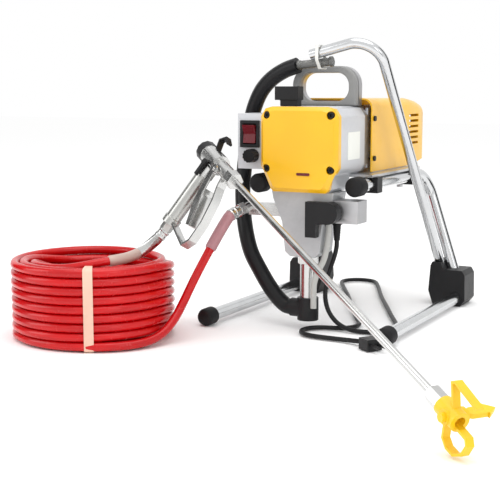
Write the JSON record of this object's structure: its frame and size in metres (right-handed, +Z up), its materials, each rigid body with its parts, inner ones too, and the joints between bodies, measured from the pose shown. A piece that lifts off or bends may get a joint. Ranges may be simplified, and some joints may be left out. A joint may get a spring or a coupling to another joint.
{
  "type": "airless paint sprayer",
  "caption": "Electric piston-pump paint sprayer on a bent-tube stand, with suction hose, coiled high-pressure hose, long-lance spray gun and mains lead.",
  "frame": {"origin": "on the floor, under the middle of the box round the sprayer and gun without its hoses and lead", "axes": "+X to the right of the drive unit seen from its front cover, +Y to the back along the stand legs, +Z up"},
  "size_m": [0.7904, 0.9013, 0.4317],
  "materials": {
    "chrome_tube": "bright plated steel tube",
    "black_rubber": "matt black rubber",
    "black_plastic": "fine-grained black plastic",
    "plated_steel": "zinc-plated steel",
    "silver_paint": "silver-grey paint on die-cast metal",
    "yellow_plastic": "yellow moulded plastic, satin gloss",
    "red_plastic": "glossy red plastic",
    "white_film": "blank white label film",
    "grey_casting": "grey paint on cast metal",
    "bare_casting": "bare die-cast aluminium",
    "copper_windings": "lacquered copper windings",
    "gear_steel": "hardened steel, lightly oiled",
    "polished_steel": "polished stainless steel",
    "dark_grip": "dark grey grip",
    "white_plastic": "milky white plastic",
    "guard_yellow": "yellow tough nylon",
    "red_hose": "red polyurethane hose cover",
    "tie_tape": "cream fabric strap",
    "black_hose": "smooth black hose",
    "cord_pvc": "black PVC sheath"
  },
  "bodies": {
    "stand": {"left_stand_tube": "chrome_tube", "right_stand_tube": "chrome_tube", "leg_caps": "black_rubber", "rail_caps": "black_rubber", "left_foot_bracket": "black_plastic", "right_foot_bracket": "black_plastic", "hanger_tube": "chrome_tube", "base_plate": "plated_steel", "rail_clamps": "black_plastic", "clamp_bolts": "plated_steel", "drive_housing": "silver_paint", "front_cover": "yellow_plastic", "cover_screws": "black_plastic", "cover_badge": "red_plastic", "info_label": "white_film", "motor_flange": "bare_casting", "carry_handle": "grey_casting", "hose_clip": "black_plastic", "motor_can": "plated_steel", "motor_field": "copper_windings", "motor_shroud": "yellow_plastic", "shroud_screws": "black_plastic", "motor_saddle": "bare_casting", "motor_bearings": "polished_steel", "gear_plate": "bare_casting", "pump_bracket": "grey_casting", "pump_cylinder": "polished_steel", "inlet_elbow": "black_plastic", "suction_hose": "black_hose", "suction_strainer": "plated_steel", "cable_tie": "white_plastic", "outlet_manifold": "polished_steel", "valve_block": "bare_casting", "drain_tube": "white_plastic", "control_box": "silver_paint", "switch_frame": "black_plastic", "gun_body": "grey_casting", "gun_handle": "dark_grip", "gun_filter": "white_plastic", "lance": "polished_steel", "hose_leads": "red_hose", "hose_coil": "red_hose", "coil_tie": "tie_tape", "cord_gland": "black_rubber", "power_cord": "cord_pvc", "power_plug": "black_plastic"},
    "rotor": {"armature": "copper_windings", "motor_pinion": "gear_steel", "cooling_fan": "black_plastic"},
    "idler": {"idler_gear": "gear_steel"},
    "crank": {"crank_gear": "gear_steel"},
    "pump_rod": {"pump_rod": "polished_steel"},
    "inlet_ball": {"inlet_ball": "polished_steel"},
    "prime_lever": {"prime_lever": "black_plastic"},
    "switch_rocker": {"switch_rocker": "red_plastic"},
    "pressure_knob": {"pressure_knob": "black_plastic"},
    "trigger": {"trigger": "polished_steel"},
    "trigger_lock": {"trigger_lock": "black_plastic"},
    "tip_guard": {"tip_guard": "guard_yellow"},
    "spray_tip": {"spray_tip": "guard_yellow"}
  },
  "joints": [
    {"name": "rotor_spin", "type": "hinge", "parent": "stand", "child": "rotor", "pos_m": [-0.11407, 0.22944, 0.288], "axis": [0, 1, 0], "continuous": true},
    {"name": "idler_spin", "type": "hinge", "parent": "stand", "child": "idler", "pos_m": [-0.09067, 0.11944, 0.273], "axis": [0, 1, 0], "continuous": true},
    {"name": "crank_spin", "type": "hinge", "parent": "stand", "child": "crank", "pos_m": [-0.11407, 0.10544, 0.25], "axis": [0, 1, 0], "continuous": true},
    {"name": "rod_slide", "type": "slide", "parent": "stand", "child": "pump_rod", "axis": [0, 0, 1], "range_m": [0, 0.022]},
    {"name": "ball_lift", "type": "slide", "parent": "stand", "child": "inlet_ball", "axis": [0, 0, 1], "range_m": [0, 0.0015]},
    {"name": "prime_turn", "type": "hinge", "parent": "stand", "child": "prime_lever", "pos_m": [-0.06607, 0.05944, 0.181], "axis": [0, 1, 0], "range_deg": [-90, 0]},
    {"name": "rocker_tilt", "type": "hinge", "parent": "stand", "child": "switch_rocker", "pos_m": [-0.19907, 0.06044, 0.292], "axis": [1, 0, 0], "range_deg": [0, 14]},
    {"name": "knob_turn", "type": "hinge", "parent": "stand", "child": "pressure_knob", "pos_m": [-0.19407, 0.04944, 0.26], "axis": [0, 1, 0], "range_deg": [-270, 0]},
    {"name": "trigger_pull", "type": "hinge", "parent": "stand", "child": "trigger", "pos_m": [-0.19837, -0.03157, 0.23939], "axis": [0.388, 0.7888, -0.4768], "range_deg": [0, 16], "stiffness_Nm_per_rad": 1.6, "springref_deg": -28.65},
    {"name": "lock_turn", "type": "hinge", "parent": "stand", "child": "trigger_lock", "pos_m": [-0.21892, -0.01717, 0.2465], "axis": [0.388, 0.7888, -0.4768], "range_deg": [0, 90]},
    {"name": "guard_swivel", "type": "hinge", "parent": "stand", "child": "tip_guard", "pos_m": [0.25693, -0.37456, 0.0425], "axis": [0.7488, -0.5714, -0.3359], "continuous": true},
    {"name": "tip_reverse", "type": "hinge", "parent": "tip_guard", "child": "spray_tip", "pos_m": [0.25843, -0.3757, 0.04183], "axis": [0.6066, 0.795, 0], "range_deg": [0, 180]}
  ],
  "couplings": [
    {"joint": "idler_spin", "follows": "rotor_spin", "ratio": -0.25},
    {"joint": "crank_spin", "follows": "rotor_spin", "ratio": 0.075}
  ]
}
